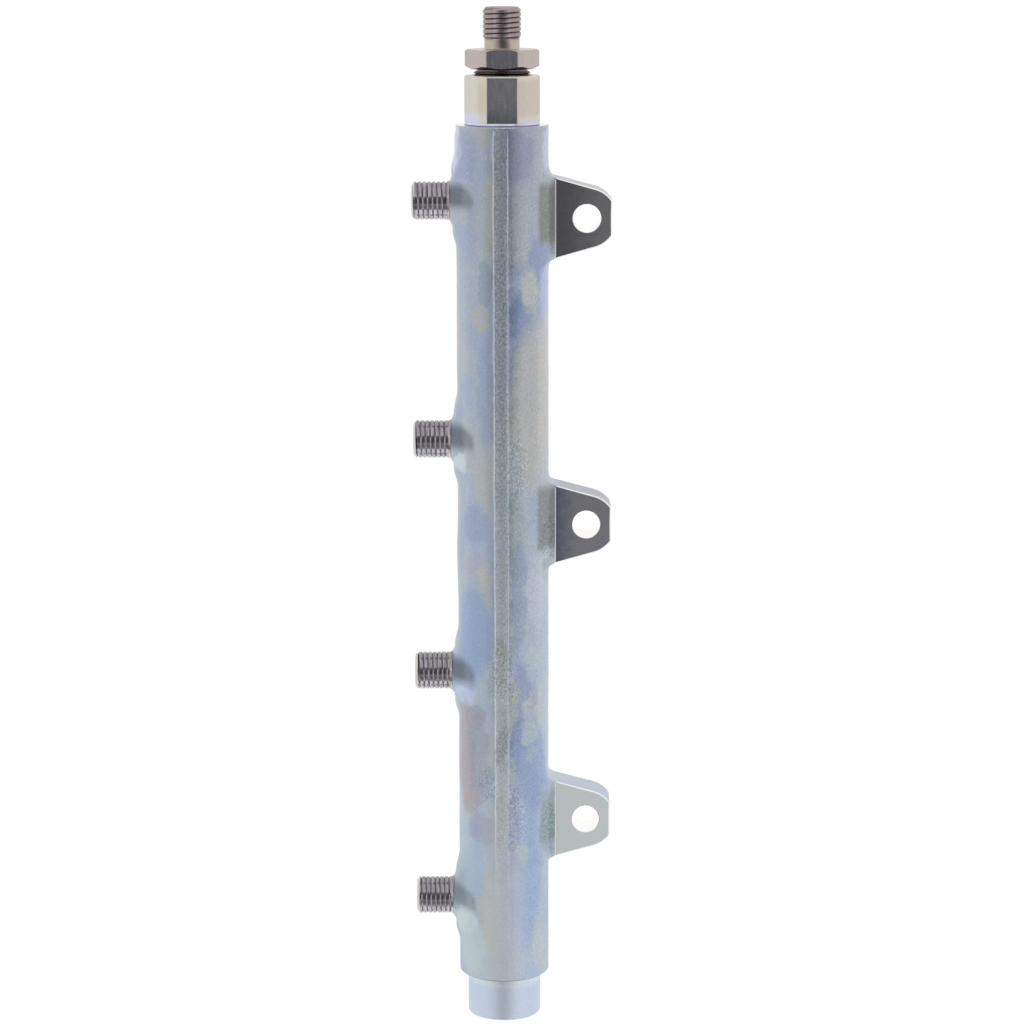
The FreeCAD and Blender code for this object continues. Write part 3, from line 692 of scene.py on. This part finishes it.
# Places with straight sides: low and high corner about the rail's axis, softness, colour, strength.
PLATES = (
    # the flat roots of the ears, darkened as painted shade
    ((11.3, 89.5, 3), (17.5, 108, 12), (1.8, 3.5, 1), (134, 138, 134), 0.9),
    ((10.8, -7.5, 3), (17.5, 12.5, 12), (1.6, 4, 1), (138, 140, 138), 0.85),
    ((11.8, -104, 3), (17.5, -86.5, 12), (1.8, 4, 1), (152, 166, 170), 0.6),
    # the lower end boss and its upper part
    ((-13, -165, 0), (13, -152, 13), (0.1, 0.6, 0.1), (212, 227, 248), 0.65),
    ((-5, -161, 5), (5, -153.4, 13), (1.6, 2, 0.1), (190, 214, 246), 0.75),
    ((3.5, -164, 0), (10.5, -153.4, 13), (3, 1.2, 0.1), (196, 208, 232), 0.6),
    # a painted highlight: a light band round the boss's neck under the body
    ((-12.5, -152.3, 0), (12.5, -149, 13), (0.1, 0.6, 0.1), (224, 234, 240), 0.8),
    # the upper sides of the ears
    ((17.5, 99, -9), (40, 112, 6.3), (2, 2, 0.5), (176, 176, 182), 0.8),
    ((17.5, 2, -9), (40, 15, 6.3), (2, 2, 0.5), (156, 157, 166), 0.7),
)


def inside_box(t, where, low, high, soft):
    """1 inside a box, fading to 0 over the softness at its sides."""
    share = 1.0
    for axis, place in enumerate(t.axes(where)):
        middle, half = (low[axis] + high[axis]) / 2, (high[axis] - low[axis]) / 2
        away = t.size(t.minus(place, middle))
        share = t.times(share, t.band(away, half + soft[axis] / 2, half - soft[axis] / 2))
    return share


def inside_oval(t, where, centre, size):
    """1 inside an ellipsoid, fading to 0 round its surface."""
    away = t.vector("DIVIDE", t.vector("SUBTRACT", where, centre), size)
    return t.band(t.add("VectorMath", {0: away}, operation="LENGTH").outputs["Value"], 1.2, 0.75)


def above_outlet(t, y):
    """Height above the nearest outlet's axis, the outlets being evenly spaced."""
    apart = OUTLETS[0] - OUTLETS[1]
    height = t.plus(y, 3.5 * apart - OUTLETS[-1])
    return t.minus(t.math("FLOORED_MODULO", height, apart), apart / 2)


# The painted shade on a flare: its slanting upper edge passes through a place given as x and height
# above the outlet, and leans by an angle whose cosine and sine are these.
SLANT_X, SLANT_HEIGHT = -12.4, 6.3
SLANT_COS, SLANT_SIN = 0.769, 0.638


def flare_shadow(t, where):
    """Strength of the painted shade at the front of each outlet's flare."""
    x, y, _ = t.axes(where)
    height = above_outlet(t, y)
    slant = t.scaled(t.minus(height, SLANT_HEIGHT), SLANT_SIN, t.times(t.minus(x, SLANT_X), SLANT_COS))
    shadow = t.times(t.band(slant, 1.2, -1.5), t.band(height, -3.6, 0.6))
    shadow = t.times(shadow, t.times(t.band(height, 7.6, 3.8), t.band(x, -8.4, -10.2)))
    depth = t.scaled(t.band(x, -11.0, -13.5), 0.24, 0.6)
    lower_fade = t.band(y, -210.0, -70.0)
    return t.times(shadow, t.times(depth, lower_fade))


def bent_place(t, where):
    """The place pushed about by a large and a small noise, for stains with uneven outlines."""
    bent = where
    for scale, detail, roughness, reach in ((0.13, 3.0, 0.6, (5.0, 9.0, 5.0)),
                                            (0.45, 4.0, 0.65, (2.8, 3.6, 2.8))):
        push = t.noise(where, scale, detail, roughness, output="Color")
        bent = t.vector("MULTIPLY_ADD", t.vector("SUBTRACT", push, (0.5, 0.5, 0.5)), reach, bent)
    return bent


def on_flash_land(t, x, y, z):
    """1 on the flash land's top and 0 off it."""
    across = t.band(t.size(t.minus(x, LAND_SHIFT)), LAND_HALF + 0.25, LAND_HALF - 0.1)
    facing = t.band(t.size(z), 10.0, 12.0)
    return t.times(t.times(across, facing), t.band(y, BODY_FOOT - 0.1, BODY_FOOT + 0.5))


def stains_and_painted_light(t, colour, where, bent, y, on_land):
    """The base colour with the stains, the straight-sided places, painted shade and highlights, the worn
    land and the land's stains.
    """
    for centre, size, stain, strength in STAINS_AND_HIGHLIGHT:
        share = t.times(inside_oval(t, bent, centre, size), strength * STAINING)
        colour = t.mix(share, colour, rgb(*stain))
    slightly_bent = t.mix(0.85, bent, where)
    for low, high, soft, plate, strength in PLATES:
        share = t.times(inside_box(t, slightly_bent, low, high, soft), strength)
        colour = t.mix(share, colour, rgb(*plate))
    lower_half = t.band(y, 90.0, -70.0)
    land_tone = t.mix(lower_half, rgb(190, 197, 206), rgb(222, 229, 234))
    worn = t.times(t.scaled(lower_half, 0.3, 0.45), t.band(y, -140.0, -85.0))
    colour = t.mix(t.times(on_land, worn), colour, land_tone)
    for centre, size, stain, strength in LAND_STAINS:
        colour = t.mix(t.times(inside_oval(t, bent, centre, size), strength), colour, rgb(*stain))
    return colour, slightly_bent, lower_half


def forged_zinc():
    """Passivated zinc on the forging, with stains, grain, pale specks, curls, and painted shade and
    highlights.
    """
    material, t = new_material("rail_zinc_forged")
    where = rail_coordinates(t)
    bent = bent_place(t, where)
    x, y, z = t.axes(where)
    downward = t.band(y, 130.0, -155.0, "LINEAR")
    tone = t.band(t.noise(where, 0.05, 4.0, 0.6, 0.4), 0.38, 0.62)
    upper = t.mix(tone, rgb(162, 172, 194), rgb(174, 180, 188))
    lower = t.mix(tone, rgb(180, 196, 216), rgb(192, 202, 208))
    on_land = on_flash_land(t, x, y, z)
    base = t.mix(downward, upper, lower)
    colour, slightly_bent, lower_half = stains_and_painted_light(t, base, where, bent, y, on_land)

    # A painted highlight on the middle towards the foot, and the painted shade on the flares.
    painted_highlight = t.times(t.band(t.size(x), 9.0, 1.0), t.band(y, -60.0, -125.0))
    colour = t.mix(t.times(painted_highlight, 0.6), colour, rgb(236, 242, 250))
    painted_flare_shade = t.times(flare_shadow(t, slightly_bent), t.band(z, -1.0, 3.0))
    colour = t.mix(painted_flare_shade, colour, rgb(98, 105, 114))

    # Painted shade: dark bands at both sides of the middle.
    away = t.size(x)
    ring = t.times(t.band(away, 2.6, 5.0), t.band(away, 13.0, 9.0))
    ring = t.times(ring, t.band(y, -135.0, -85.0))
    colour = t.mix(t.scaled(ring, 0.12, 0.02), colour, rgb(60, 66, 80))

    # Grain, coarser on the land and to its right, where the middle of the rail is peened.
    grain = t.noise(t.vector("MULTIPLY", where, (1.0, 0.6, 1.0)), 2.0, 4.0, 0.7)
    speck = t.noise(where, 1.1, 3.0, 0.7)
    peened = t.times(t.band(x, 6.5, 4.0), t.band(t.size(t.minus(y, 10.0)), 100.0, 80.0))
    coarse = t.scaled(t.band(x, -3.5, -1.5), t.scaled(peened, 0.08, 0.06), 0.1)
    coarse = t.scaled(on_land, t.scaled(t.band(y, -70.0, -115.0), -0.16, 0.2), coarse)
    grains = t.mix(t.band(grain, 0.3, 0.7), rgb(95, 100, 112), rgb(255, 255, 255))
    colour = t.mix(coarse, colour, grains, "OVERLAY")

    # Curls on the land and in the curled places.
    curls = t.band(t.noise(where, 1.0, 2.0, 0.5, 2.2), 0.40, 0.60)
    curled = t.times(on_land, t.scaled(lower_half, 0.4, 0.2))
    for centre, size in CURLED:
        curled = t.math("MAXIMUM", curled, inside_oval(t, bent, centre, size))
    curled = t.times(curled, t.band(y, -122.0, -104.0))
    curl_tones = t.mix(curls, rgb(112, 120, 132), rgb(236, 240, 236))
    colour = t.mix(t.times(curled, 0.3), colour, curl_tones, "OVERLAY")
    pale = t.times(t.band(speck, 0.60, 0.70), t.minus(1.0, painted_flare_shade))
    colour = t.mix(t.times(pale, 0.35), colour, rgb(206, 210, 206))

    height = t.plus(t.times(grain, t.scaled(on_land, 1.2, 0.5)),
                    t.scaled(curls, t.times(curled, 0.9), t.times(speck, 0.4)))
    roughness = t.scaled(on_land, 0.1, t.scaled(grain, 0.18, 0.22))
    roughness = t.scaled(t.band(y, -80.0, -130.0), 0.17, roughness)
    surface(t, colour, roughness, height, 0.00003)
    return material


def milled_zinc():
    """The ears' faces: bare and smooth at the upper ears, coated and duller at the lowest."""
    material, t = new_material("rail_zinc_milled")
    where = rail_coordinates(t)
    x, y, _ = t.axes(where)
    marks = t.noise(t.vector("MULTIPLY", where, (0.3, 1.5, 1.0)), 1.5, 4.0, 0.6)
    cloud = t.noise(where, 0.35, 4.0, 0.6)
    coated = t.band(y, -60.0, -80.0)
    # Each upper ear is darker towards the body, over an uneven stretch of x.
    uneven = t.scaled(cloud, 8.0, t.minus(x, 4.0))
    upper = t.mix(t.band(uneven, 17.5, 33.0), rgb(168, 165, 174), rgb(218, 217, 221))
    middle = t.mix(t.band(uneven, 15.0, 24.0), rgb(158, 164, 192), rgb(218, 217, 226))
    bare = t.mix(t.band(y, 60.0, 30.0), upper, middle)
    zinc = t.mix(t.band(cloud, 0.35, 0.65), rgb(240, 248, 250), rgb(242, 247, 246))
    colour = t.mix(0.12, t.mix(coated, bare, zinc), t.mix(marks, GRAIN_DARK, GRAIN_LIGHT), "OVERLAY")
    roughness = t.scaled(coated, 0.35, t.scaled(marks, 0.06, 0.16))
    surface(t, colour, roughness, marks, 0.000004)
    return material


def plain_metal(name, colour, roughness, scale=2.0, depth=0.00002):
    """One metal with an even grain; the depth of the grain is in metres."""
    material, t = new_material(name)
    grain = t.noise(rail_coordinates(t), scale, 4.0, 0.6)
    shade = t.mix(0.3, rgb(*colour), t.mix(grain, GRAIN_DARK, GRAIN_LIGHT), "OVERLAY")
    surface(t, shade, t.scaled(grain, 0.16, roughness - 0.08), grain, depth)
    return material


def outlet_thread():
    """Thread steel: a painted dark reflection along the middle, painted shade on the upper side, roots
    painted lighter against their shade, and a light chamfer at the end.
    """
    material, t = new_material("rail_thread_steel")
    where = rail_coordinates(t)
    x, y, z = t.axes(where)
    height = above_outlet(t, y)
    # Painted shade: the upper side of each thread is darker.
    colour = t.mix(t.band(height, 0.5, 3.0), rgb(188, 186, 191), rgb(154, 151, 156))
    # Painted reflection: a dark band along the middle of each thread.
    middle = t.band(t.size(t.plus(height, 0.45)), 2.1, 1.7)
    colour = t.mix(t.times(middle, 0.55), colour, rgb(112, 110, 114))
    chamfer = OUTLET_CHAMFER - OUTLET_REACH
    # Painted light: the roots are lighter against the shade that falls in them.
    root = t.band(t.length(height, z), ROOT_RAD + 0.34, ROOT_RAD + 0.06)
    root = t.times(root, t.band(x, chamfer + 0.3, chamfer + 0.6))
    colour = t.mix(root, colour, t.mix(middle, rgb(206, 203, 207), rgb(255, 252, 255)))
    streaks = t.noise(t.vector("MULTIPLY", where, (4.0, 0.25, 0.25)), 1.0, 3.0, 0.6)
    streak_tones = t.mix(t.band(streaks, 0.35, 0.65), rgb(70, 66, 72), rgb(240, 238, 240))
    colour = t.mix(0.35, colour, streak_tones, "OVERLAY")
    colour = t.mix(t.band(x, chamfer + 0.15, chamfer - 0.15), colour, rgb(204, 203, 198))
    grain = t.noise(where, 2.0, 4.0, 0.6)
    surface(t, colour, t.scaled(root, 0.45, t.scaled(grain, 0.14, 0.1)), grain, 0.000003)
    return material


# Tinted places of the turned ends, given like the places with straight sides above.
BOSS_TINTS = (
    ((-4.64, 120, 5), (4.64, 140.35, 13), (0.3, 0.1, 0.1), (208, 208, 218), 1),
    ((-4.64, 120, 5), (4.64, 129.6, 13), (0.3, 6, 0.1), (170, 178, 180), 1),
    ((-7.6, 129, 5), (-4.66, 139, 13), (1.4, 5, 0.1), (200, 192, 172), 0.8),
    ((4.9, 120, 0), (13, 139.5, 13), (0.6, 2, 0.1), (198, 187, 177), 0.9),
    ((-12.5, 120, 0), (-7, 129.4, 13), (2.6, 2.4, 0.1), (204, 208, 228), 0.8),
    ((5.2, 120, 0), (12.5, 128.6, 13), (1, 1.6, 0.1), (212, 206, 210), 0.7),
)
UNION_TINTS = (
    ((-4.85, 143, 8), (4.85, 148.5, 13), (0.3, 0.2, 0.1), (194, 191, 200), 1),
    ((-7, 148.9, -7), (7, 153.5, 7), (0.2, 0.2, 0.2), (184, 174, 163), 1),
    ((-2.4, 148.9, 2), (2.4, 153.5, 7), (1.4, 0.2, 0.2), (160, 148, 147), 1),
)
STUD_TINTS = (((-2.6, 150, 3), (2.6, 163, 8), (0.8, 0.1, 0.1), (170, 158, 162), 1),)


def tinted_metal(name, colour, tints, roughness):
    """Turned steel with tinted places."""
    material, t = new_material(name)
    where = rail_coordinates(t)
    grain = t.noise(t.vector("MULTIPLY", where, (1.0, 0.2, 1.0)), 1.5, 4.0, 0.6)
    shade = rgb(*colour)
    for low, high, soft, tint, strength in tints:
        shade = t.mix(t.times(inside_box(t, where, low, high, soft), strength), shade, rgb(*tint))
    shade = t.mix(0.16, shade, t.mix(grain, GRAIN_DARK, GRAIN_LIGHT), "OVERLAY")
    surface(t, shade, t.scaled(grain, 0.16, roughness - 0.08), grain, 0.000006)
    return material


MATERIALS = {
    "forged": forged_zinc(),
    "milled": milled_zinc(),
    "edge": plain_metal("rail_zinc_edge", (238, 238, 240), 0.2, 1.5, 0.000004),
    "boss": tinted_metal("rail_zinc_boss", (207, 203, 192), BOSS_TINTS, 0.25),
    # A dark material that paints shade into the foot of the relief and along the body's lower rim.
    "corner": plain_metal("rail_zinc_corner_painted_shade", (122, 126, 150), 0.3),
    "relief": plain_metal("rail_zinc_relief", (214, 214, 230), 0.35),
    "thread": outlet_thread(),
    "hole": plain_metal("rail_hole_steel", (252, 248, 245), 0.12, 2.0, 0.000002),
    "stud": tinted_metal("union_thread_steel", (158, 147, 145), STUD_TINTS, 0.26),
    "bore": plain_metal("rail_bore_steel", (150, 148, 146), 0.35),
    "union": tinted_metal("union_turned_steel", (186, 176, 172), UNION_TINTS, 0.24),
    "crest": plain_metal("union_crest_steel", (122, 110, 114), 0.26, 2.0, 0.000004),
    "seal": plain_metal("seal_soft_iron", (120, 118, 116), 0.5, 3.0, 0.00003),
    "throttle": plain_metal("throttle_turned_steel", (150, 150, 152), 0.3, 3.0),
}
# A face's material is told by its place in these lists.
RAIL_MATERIALS = ("forged", "milled", "boss", "thread", "bore", "hole", "edge", "corner", "relief")
FORGED, MILLED, BOSS, THREAD, BORE, HOLE, EDGE, CORNER_PAINTED_SHADE, RELIEF = range(len(RAIL_MATERIALS))
UNION_MATERIALS = ("union", "stud", "crest")
TURNED, ON_STUD, ON_CREST = range(len(UNION_MATERIALS))


def set_materials(piece, names, chosen):
    """Give each face the material that chosen finds from its centre and normal."""
    mesh = piece.data
    mesh.materials.clear()
    for name in names:
        mesh.materials.append(MATERIALS[name])
    count = len(mesh.polygons)
    centre, normal = np.zeros(count * 3), np.zeros(count * 3)
    mesh.polygons.foreach_get("center", centre)
    mesh.polygons.foreach_get("normal", normal)
    place = centre.reshape(-1, 3) / MM - (AXIS_X, 0.0, AXIS_Z)
    mesh.polygons.foreach_set("material_index", chosen(place, normal.reshape(-1, 3)).astype(np.int32))
    mesh.update()


def rail_faces(place, normal):
    x, y, z = place.T
    around = np.hypot(x, z)
    kind = np.full(len(x), FORGED)
    # The milled plates of the ears, their chamfers and the step where they meet the forged roots.
    milled = (x > EAR_STEP - 0.05) & (np.abs(z) > EAR_HALF - EAR_CHAMFER - 0.01)
    upright = np.abs(normal[:, 2])
    kind[milled & (upright > 0.9)] = MILLED
    kind[milled & (upright < 0.85) & (upright > 0.4)] = EDGE
    kind[(x > EAR_STEP - 0.5) & (x < EAR_STEP + 0.05) & (np.abs(z) > EAR_HALF - 0.1) & (normal[:, 0] > 0.45)
         & (np.abs(z) < EAR_HALF + EAR_SKIN + 0.3)] = EDGE
    # The upper boss and its relief, and the rims of the body.
    relief_top = BODY_TOP + RELIEF_WIDTH + 0.006
    kind[(y > relief_top) & (around > 9.1)] = BOSS
    kind[(y > BODY_TOP - 0.01) & (around > RELIEF_RAD + 0.46)] = EDGE
    relief = (y > BODY_TOP + 0.01) & (around > 9.5) & (y < relief_top)
    # The foot of the relief and the body's lower rim get the dark material as painted shade lines.
    kind[relief] = np.where(y[relief] < BODY_TOP + 0.31, CORNER_PAINTED_SHADE, RELIEF)
    kind[(y > BODY_FOOT) & (y < BODY_FOOT + RIM) & (around > 13.5)] = CORNER_PAINTED_SHADE
    # The outlets past their collars, the bores inside and the ear holes.
    kind[(x < -COLLAR_REACH - 0.1) & (y < BODY_TOP)] = THREAD
    kind[(around < 9.2) & (y > BODY_FOOT - 20)] = BORE
    for ear in EARS:
        kind[np.hypot(x - EAR_X, y - ear) < EAR_HOLE_RAD + 0.05] = HOLE
    return kind


def union_faces(place, _):
    x, y, z = place.T
    on_stud = (y > UNION_SEAT + UNION_HEIGHT + NECK - 0.3) & (np.hypot(x, z) > SEAT_MOUTH_RAD)
    return np.where(y < UNION_SEAT - 0.15, ON_CREST, np.where(on_stud, ON_STUD, TURNED))


set_materials(rail, RAIL_MATERIALS, rail_faces)
set_materials(union, UNION_MATERIALS, union_faces)
for name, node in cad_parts.items():
    if name.startswith("outlet_throttle") or name == "inlet_seal_ring":
        node.data.materials.clear()
        node.data.materials.append(MATERIALS["seal" if name == "inlet_seal_ring" else "throttle"])

for piece, node, slot in ((rail, "rail_body", "rail_zinc"), (union, "inlet_union", "union_steel")):
    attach(piece, "root")
    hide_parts(node)


# Floor, world and camera

FLOOR_HALF = 4.0
FLOOR_GLOW = 1.06
FLOOR_GLOW_SHARE = 0.9


def make_floor():
    """A floor under the rail that the camera and the metal see as white, and that keeps a shadow."""
    height = (AXIS_Z - BODY_RAD - LAND_HEIGHT) * MM
    corners = [(-1, -1), (1, -1), (1, 1), (-1, 1)]
    mesh = bpy.data.meshes.new("floor")
    mesh.from_pydata([(FLOOR_HALF * x, FLOOR_HALF * y, height) for x, y in corners], [], [(0, 1, 2, 3)])
    floor = bpy.data.objects.new("floor", mesh)
    bpy.context.scene.collection.objects.link(floor)
    material, t = new_material("floor_white")
    path = t.add("LightPath")
    diffuse = t.add("BsdfDiffuse", {"Color": (0.9, 0.9, 0.9, 1.0)})
    glow = t.add("Emission", {"Color": (1.0, 1.0, 1.0, 1.0), "Strength": FLOOR_GLOW})
    seen = t.math("MAXIMUM", path.outputs["Is Camera Ray"], path.outputs["Is Glossy Ray"])
    share = t.times(seen, FLOOR_GLOW_SHARE)
    blend = t.add("MixShader", {0: share, 1: diffuse.outputs[0], 2: glow.outputs[0]})
    t.add("OutputMaterial", {"Surface": blend.outputs[0]})
    mesh.materials.append(material)


# The world is white with one soft dark patch overhead, which the metal mirrors. It is given in the
# parts of a direction: x across the rail, y along it and z up. The patch has a half width, a softness
# of its sides and a brightness, and its low part changes each of them by the second number. The
# patch's foot and toe, further along, get brighter still.
PATCH_HALF, PATCH_HALF_LOW = 0.185, -0.07
PATCH_SOFT, PATCH_SOFT_LOW = 0.62, -0.40
GROUND, GROUND_LOW, GROUND_FOOT, GROUND_TOE = 0.15, 0.12, 0.14, 0.16
# The patch leans sideways along the rail, and ends softly past these directions.
PATCH_LEAN, PATCH_SHIFT = -0.37, -0.045
PATCH_TOP, PATCH_TOP_SOFT = 0.42, 0.125
PATCH_BOTTOM, PATCH_BOTTOM_SOFT = -0.68, 0.2


def make_world():
    world = bpy.data.worlds.new("studio")
    world.use_nodes = True
    bpy.context.scene.world = world
    t = Tree(world)
    x, y, z = t.axes(t.add("TexCoord").outputs["Generated"])
    past_foot = t.band(y, -0.38, -0.45)
    low = t.minus(t.band(y, -0.16, -0.30), past_foot)
    foot = t.minus(t.band(y, -0.28, -0.35), past_foot)
    toe = t.band(y, -0.355, -0.375)
    half = t.scaled(low, PATCH_HALF_LOW, PATCH_HALF)
    soft = t.scaled(low, PATCH_SOFT_LOW, PATCH_SOFT)
    across = t.minus(t.size(t.plus(x, t.scaled(y, PATCH_LEAN, PATCH_SHIFT))), half)
    across = t.math("MAXIMUM", t.math("DIVIDE", across, soft), 0.0)
    upper = t.scaled(y, 1 / PATCH_TOP_SOFT, -PATCH_TOP / PATCH_TOP_SOFT)
    lower = t.scaled(y, -1 / PATCH_BOTTOM_SOFT, PATCH_BOTTOM / PATCH_BOTTOM_SOFT)
    along = t.math("MAXIMUM", t.math("MAXIMUM", upper, lower), 0.0)
    outside = t.band(t.length(across, along), 0.0, 1.0)
    ground = t.scaled(foot, GROUND_FOOT, t.scaled(low, GROUND_LOW, GROUND))
    ground = t.scaled(toe, GROUND_TOE, ground)
    level = t.scaled(outside, t.minus(1.0, ground), ground)
    overhead = t.band(z, -0.1, 0.2)
    patched = t.minus(1.0, t.times(overhead, t.minus(1.0, level)))
    strength = t.math("MAXIMUM", patched, t.add("LightPath").outputs["Is Camera Ray"])
    background = t.add("Background", {"Color": (1.0, 1.0, 1.0, 1.0), "Strength": strength})
    t.add("OutputWorld", {"Surface": background.outputs[0]})


# The camera that was fitted to the photograph: focal length in pixels of a picture this wide, the place
# that it looks at in millimetres, and its distance from there.
PICTURE, FOCAL = 1024, 3041.0
CAMERA_PITCH, CAMERA_ROLL = math.radians(11.2), math.radians(-0.12)
CAMERA_TARGET, CAMERA_REACH = Vector((-23.5, 2.8, 6.25)), 969.0
FILM_WIDTH = 36.0


def make_camera():
    camera = bpy.data.objects.new("camera", bpy.data.cameras.new("camera"))
    bpy.context.scene.collection.objects.link(camera)
    camera.data.sensor_width = FILM_WIDTH
    camera.data.lens = FOCAL / PICTURE * FILM_WIDTH
    camera.data.clip_start, camera.data.clip_end = 0.05, 50.0
    back = Vector((0, math.sin(CAMERA_PITCH), math.cos(CAMERA_PITCH)))
    right = Vector((1, 0, 0))
    turn = Matrix((right, back.cross(right), back)).transposed().to_4x4()
    place = Matrix.Translation(CAMERA_TARGET * MM + back * CAMERA_REACH * MM)
    camera.matrix_world = place @ turn @ Matrix.Rotation(CAMERA_ROLL, 4, "Z")
    bpy.context.scene.camera = camera


make_floor()
make_world()
make_camera()
bpy.context.scene.view_settings.view_transform = "Standard"
